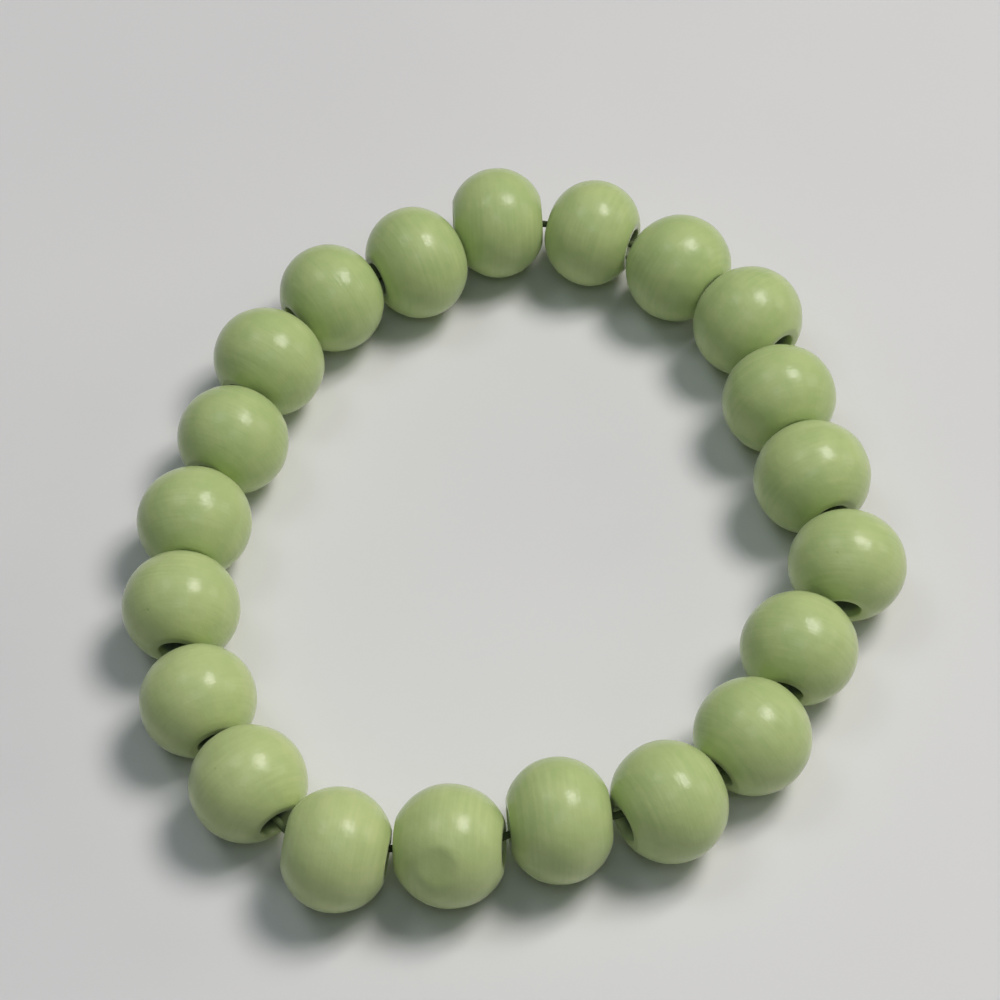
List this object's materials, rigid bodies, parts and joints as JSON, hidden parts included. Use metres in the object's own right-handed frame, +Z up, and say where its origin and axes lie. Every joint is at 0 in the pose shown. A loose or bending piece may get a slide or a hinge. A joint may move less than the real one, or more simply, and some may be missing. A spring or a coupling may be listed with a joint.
{
  "type": "beaded bracelet",
  "caption": "Stretch bracelet of round painted wooden beads on a hidden elastic, lying flat as a loose loop.",
  "frame": {"origin": "on the surface that the bracelet lies on, under the middle of the loop's outer box", "axes": "+Z up, +Y along the longer side of the loop towards the far side in the picture, +X to the right"},
  "size_m": [0.0664, 0.0752, 0.0103],
  "materials": {
    "bead_paint": "satin pistachio paint on wood",
    "green_elastic": "matt dark green"
  },
  "bodies": {
    "root": {"bead_01": "bead_paint", "bead_02": "bead_paint", "bead_03": "bead_paint", "bead_04": "bead_paint", "bead_05": "bead_paint", "bead_06": "bead_paint", "bead_07": "bead_paint", "bead_08": "bead_paint", "bead_09": "bead_paint", "bead_10": "bead_paint", "bead_11": "bead_paint", "bead_12": "bead_paint", "bead_13": "bead_paint", "bead_14": "bead_paint", "bead_15": "bead_paint", "bead_16": "bead_paint", "bead_17": "bead_paint", "bead_18": "bead_paint", "bead_19": "bead_paint", "bead_20": "bead_paint", "bead_21": "bead_paint", "elastic_cord": "green_elastic"}
  },
  "joints": []
}
